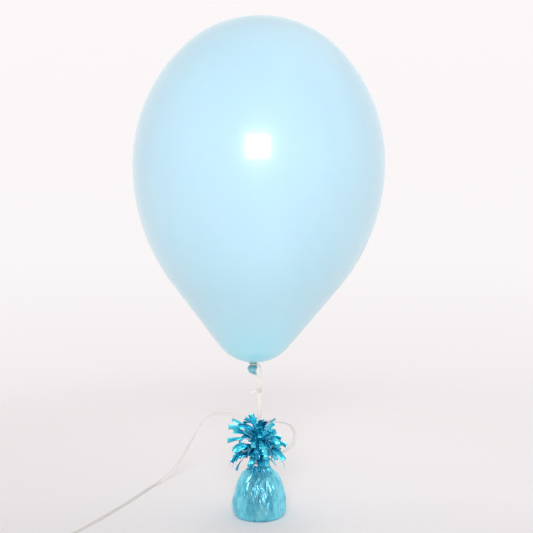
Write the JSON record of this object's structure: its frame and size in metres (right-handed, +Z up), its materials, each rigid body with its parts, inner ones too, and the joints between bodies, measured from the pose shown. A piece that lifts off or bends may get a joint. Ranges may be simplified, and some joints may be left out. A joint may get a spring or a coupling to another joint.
{
  "type": "latex balloon",
  "caption": "Round pastel latex balloon standing above a foil-wrapped, fringed weight on a short tied ribbon with a loose curling tail.",
  "frame": {"origin": "on the floor under the middle of the weight and of the balloon's belly", "axes": "+Z up, +X to the right and +Y away as the balloon is faced from its front"},
  "size_m": [0.375, 0.282, 0.5689],
  "materials": {
    "latex": "smooth, softly glossy pastel latex",
    "latex_knot": "unstretched latex, deeper colour",
    "latex_lip": "rolled latex bead",
    "ribbon": "cream curling ribbon, satin, fine lengthways grain",
    "foil": "metallised turquoise foil, crinkled",
    "fringe": "metallised turquoise foil strips",
    "band": "small elastic band",
    "clear_bag": "thin clear bag",
    "sand": "dry sand"
  },
  "bodies": {
    "weight": {"ballast_fill": "sand", "ballast_bag": "clear_bag", "foil_wrap": "foil", "neck_tie": "band", "ribbon_windings": "ribbon", "ribbon_lower_knot": "ribbon", "fringe_ring_1": "fringe", "fringe_ring_2": "fringe", "fringe_ring_3": "fringe", "fringe_ring_4": "fringe", "fringe_ring_5": "fringe", "ribbon_stem": "ribbon", "ribbon_tail": "ribbon", "ribbon_tail_coil": "ribbon"},
    "tether_lower": {"ribbon_lower_span": "ribbon"},
    "tether_upper": {"ribbon_upper_span": "ribbon", "ribbon_upper_knot": "ribbon", "ribbon_tag_end": "ribbon"},
    "neck_loop": {"ribbon_loop": "ribbon"},
    "neck_turns": {"ribbon_neck_wrap": "ribbon"},
    "balloon": {"balloon_envelope": "latex", "neck_knot": "latex_knot", "rolled_lip": "latex_lip"}
  },
  "joints": [
    {"name": "tether_base_roll", "type": "hinge", "parent": "weight", "child": "tether_lower", "pos_m": [0, 0, 0.118], "axis": [0, 1, 0], "range_deg": [-25, 25], "stiffness_Nm_per_rad": 1.1},
    {"name": "tether_base_pitch", "type": "hinge", "parent": "tether_lower", "child": "tether_upper", "pos_m": [0, 0, 0.13], "axis": [1, 0, 0], "range_deg": [-25, 25], "stiffness_Nm_per_rad": 1.1},
    {"name": "tether_top_roll", "type": "hinge", "parent": "tether_upper", "child": "neck_loop", "pos_m": [0, 0, 0.1515], "axis": [0, 1, 0], "range_deg": [-25, 25], "stiffness_Nm_per_rad": 0.9},
    {"name": "tether_top_pitch", "type": "hinge", "parent": "neck_loop", "child": "neck_turns", "pos_m": [0, 0, 0.174], "axis": [1, 0, 0], "range_deg": [-25, 25], "stiffness_Nm_per_rad": 0.9},
    {"name": "balloon_spin", "type": "hinge", "parent": "neck_turns", "child": "balloon", "pos_m": [-0.00675, 0, 0.1781], "axis": [0.0297, 0, 0.9996], "continuous": true}
  ]
}
